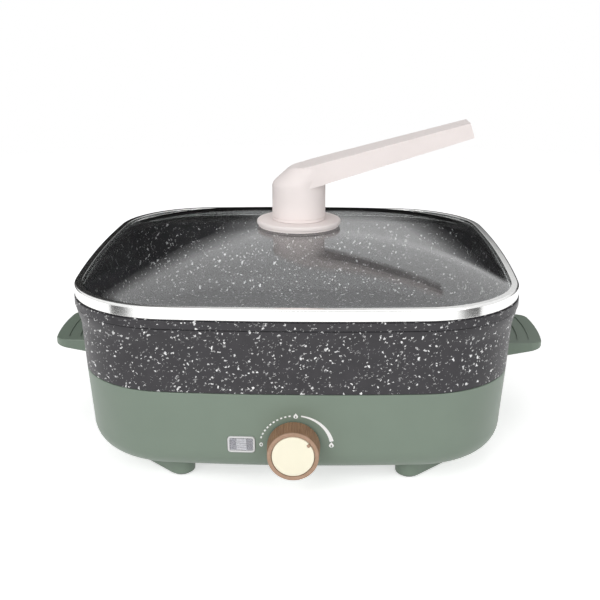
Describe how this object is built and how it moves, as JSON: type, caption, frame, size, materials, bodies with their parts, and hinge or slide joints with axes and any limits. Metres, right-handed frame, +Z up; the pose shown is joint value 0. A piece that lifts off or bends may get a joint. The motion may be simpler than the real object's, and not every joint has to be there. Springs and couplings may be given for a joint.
{
  "type": "electric skillet",
  "caption": "Square electric skillet: cast pot on a moulded base with a front thermostat knob, and a domed glass lid lifted by a slanting handle.",
  "frame": {"origin": "on the table under the middle of the square pot", "axes": "+Z up, -Y towards the side with the knob, +X to the right of a person who faces the knob"},
  "size_m": [0.3836, 0.3403, 0.2344],
  "materials": {
    "housing_plastic": "satin",
    "pot_coating": "dark speckled non-stick coat",
    "band_steel": "polished",
    "lid_clear": "clear",
    "handle_cream": "satin",
    "knob_brown": "satin",
    "knob_ivory": "satin",
    "lamp_clear": "clear",
    "neon_glass": "clear",
    "pad_rubber": "matte",
    "plated_steel": "zinc plated",
    "element_sheath": "matte",
    "contact_brass": "plain",
    "white_ceramic": "matte",
    "inlet_plastic": "matte",
    "seal_silicone": "matte",
    "brown_insulation": "matte",
    "blue_insulation": "matte",
    "green_insulation": "matte"
  },
  "bodies": {
    "base": {"base_housing": "housing_plastic", "bottom_cover": "housing_plastic", "cover_screw_right": "plated_steel", "cover_screw_back": "plated_steel", "cover_screw_left": "plated_steel", "cover_screw_front": "plated_steel", "foot_pad_back_right": "pad_rubber", "foot_pad_back_left": "pad_rubber", "foot_pad_front_left": "pad_rubber", "foot_pad_front_right": "pad_rubber", "pot": "pot_coating", "pot_screw_back_right": "plated_steel", "pot_screw_back_left": "plated_steel", "pot_screw_front_left": "plated_steel", "pot_screw_front_right": "plated_steel", "heating_element": "element_sheath", "terminal_bush_left": "white_ceramic", "terminal_bush_right": "white_ceramic", "terminal_pin_left": "plated_steel", "terminal_pin_right": "plated_steel", "heat_shield": "plated_steel", "thermostat_body": "white_ceramic", "thermostat_bracket": "plated_steel", "bracket_screw_left": "plated_steel", "bracket_screw_right": "plated_steel", "thermostat_nut": "plated_steel", "thermostat_tab_left": "contact_brass", "thermostat_tab_right": "contact_brass", "lamp_lens": "lamp_clear", "lamp_holder": "white_ceramic", "neon_lamp": "neon_glass", "inlet_housing": "inlet_plastic", "inlet_pin_left": "contact_brass", "inlet_pin_right": "contact_brass", "inlet_pin_earth": "contact_brass", "inlet_screw_left": "plated_steel", "inlet_screw_right": "plated_steel", "thermal_fuse": "plated_steel", "fuse_clip": "plated_steel", "earth_screw": "plated_steel", "live_wire": "brown_insulation", "switched_wire": "brown_insulation", "element_wire": "brown_insulation", "neutral_wire": "blue_insulation", "earth_wire": "green_insulation", "lamp_wire_left": "blue_insulation", "lamp_wire_right": "blue_insulation"},
    "knob": {"knob_ring": "knob_brown", "knob_cap": "knob_ivory", "knob_core": "knob_brown", "thermostat_spindle": "plated_steel"},
    "lid": {"lid_rim_band": "band_steel", "lid_glass": "lid_clear", "handle_gasket": "seal_silicone", "handle_flange": "handle_cream", "lid_handle": "handle_cream", "inner_gasket": "seal_silicone", "lid_washer": "band_steel", "lid_screw": "band_steel"}
  },
  "joints": [
    {"name": "knob_turn", "type": "hinge", "parent": "base", "child": "knob", "pos_m": [0, -0.163, 0.0363], "axis": [0, 1, 0], "range_deg": [-142, 38]},
    {"name": "lid_lift", "type": "slide", "parent": "base", "child": "lid", "axis": [0, 0, 1], "range_m": [0, 0.15]}
  ]
}
